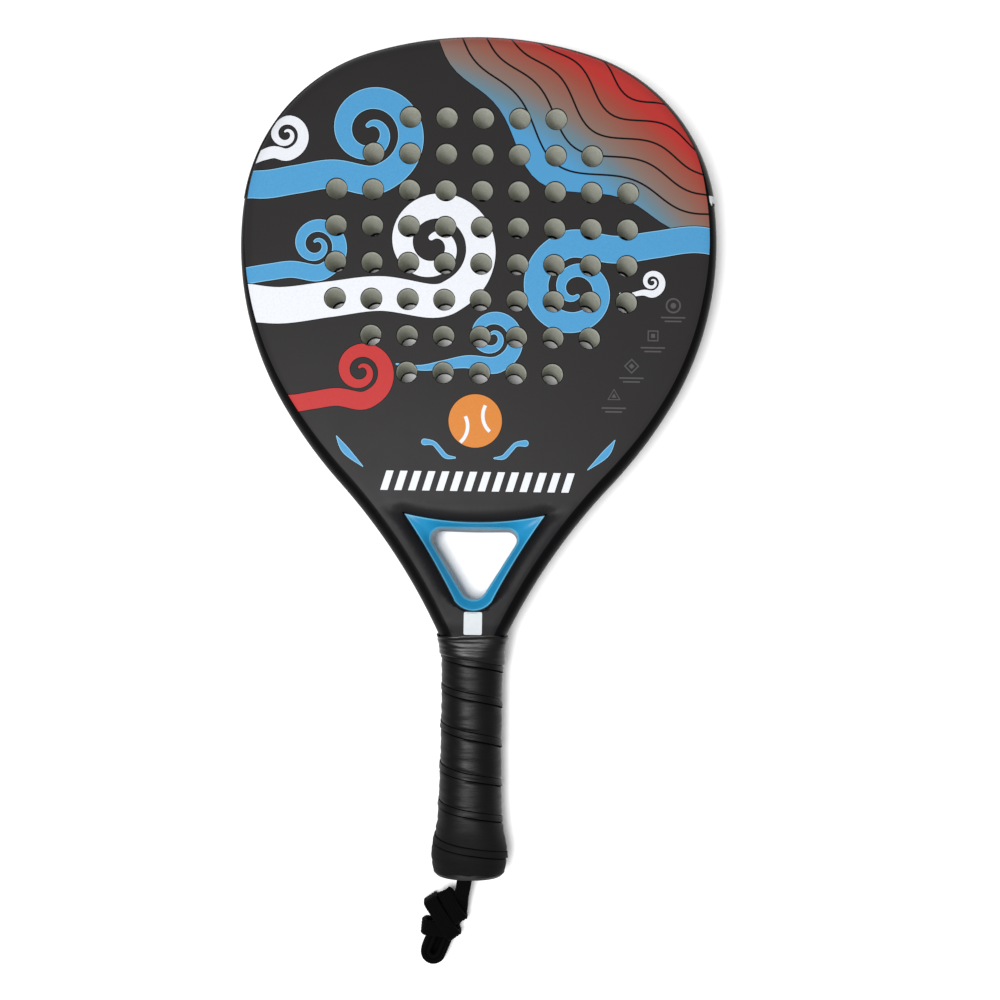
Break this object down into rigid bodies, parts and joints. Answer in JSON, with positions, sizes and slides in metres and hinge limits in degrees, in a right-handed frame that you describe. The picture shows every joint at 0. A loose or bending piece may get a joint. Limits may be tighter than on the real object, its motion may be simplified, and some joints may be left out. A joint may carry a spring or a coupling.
{
  "type": "padel racket",
  "caption": "Teardrop padel racket: foam-cored bored face in a tubular frame, open throat, wound grip and wrist strap.",
  "frame": {"origin": "on the plane the racket lies on, under the middle of its length and width, the strap left out", "axes": "+X to the right of the front face, +Y from the butt to the crown, +Z out of the front face; the back face lies on Z = 0"},
  "size_m": [0.2574, 0.5065, 0.038],
  "materials": {
    "frame_laminate": "satin",
    "face_laminate": "satin",
    "printed_film": "satin",
    "foam_filler": "matte",
    "eva_foam": "matte",
    "throat_paint": "satin",
    "label_film": "gloss",
    "rim_tape_film": "satin",
    "handle_laminate": "satin",
    "cap_plastic": "satin",
    "staple_steel": "satin",
    "base_grip_foam": "matte",
    "overgrip_polyurethane": "satin",
    "finishing_tape_film": "satin",
    "strap_webbing": "matte"
  },
  "bodies": {
    "racket": {"frame_tube": "frame_laminate", "frame_foam_filler": "foam_filler", "throat_bridge": "frame_laminate", "bridge_foam_filler": "foam_filler", "foam_core": "eva_foam", "front_skin": "face_laminate", "back_skin": "face_laminate", "front_film": "printed_film", "back_film": "printed_film", "throat_lining": "throat_paint", "yoke": "frame_laminate", "yoke_label": "label_film", "rim_tape": "rim_tape_film", "handle_tube": "handle_laminate", "handle_foam": "foam_filler", "butt_cap": "cap_plastic", "cap_staples": "staple_steel", "base_grip": "base_grip_foam", "overgrip": "overgrip_polyurethane", "finishing_tape": "finishing_tape_film", "strap_knot": "strap_webbing", "strap_inner_run": "strap_webbing"},
    "strap": {"strap_neck": "strap_webbing", "strap_bundle": "strap_webbing"}
  },
  "joints": [
    {"name": "strap_swing", "type": "hinge", "parent": "racket", "child": "strap", "pos_m": [0, -0.2315, 0.019], "axis": [0, 0, 1], "range_deg": [-5, 60]}
  ]
}
